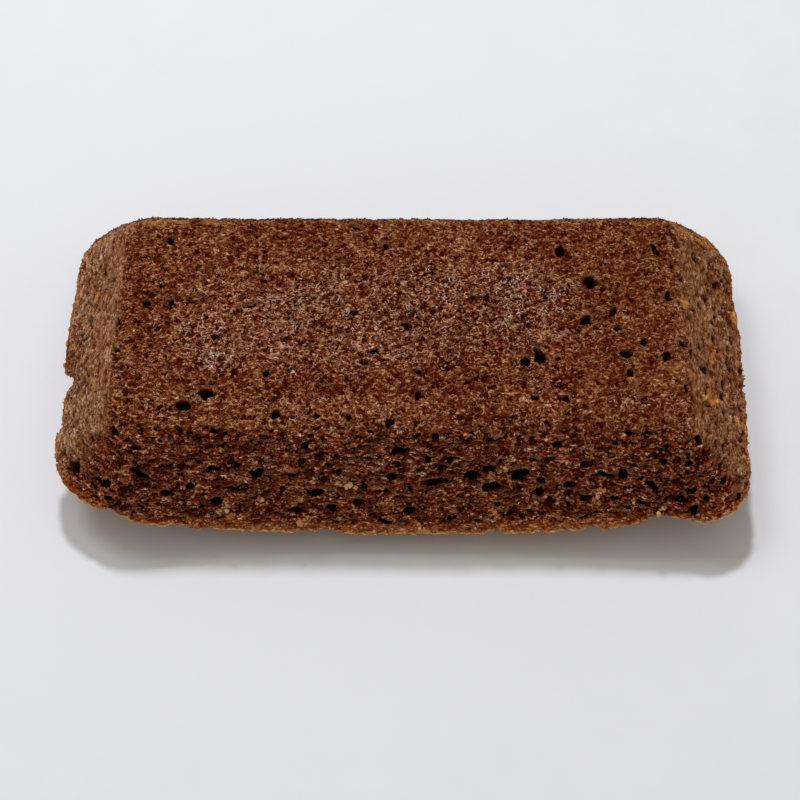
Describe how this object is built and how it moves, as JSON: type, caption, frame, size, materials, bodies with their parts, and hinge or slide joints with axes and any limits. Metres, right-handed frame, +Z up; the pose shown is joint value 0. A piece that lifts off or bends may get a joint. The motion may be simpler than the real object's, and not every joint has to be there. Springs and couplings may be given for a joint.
{
  "type": "chocolate cake",
  "caption": "Small bar-shaped chocolate cake turned out of its mould: a flat top, flaring sides, rounded corners and a domed crust below.",
  "frame": {"origin": "bottom centre of the cake's box, on the surface it lies on", "axes": "+X along the cake, +Y towards its back, +Z up"},
  "size_m": [0.086, 0.0474, 0.0152],
  "materials": {
    "crumb": "rough, porous baked crumb, dark reddish brown"
  },
  "bodies": {
    "root": {"cake": "crumb"}
  },
  "joints": []
}
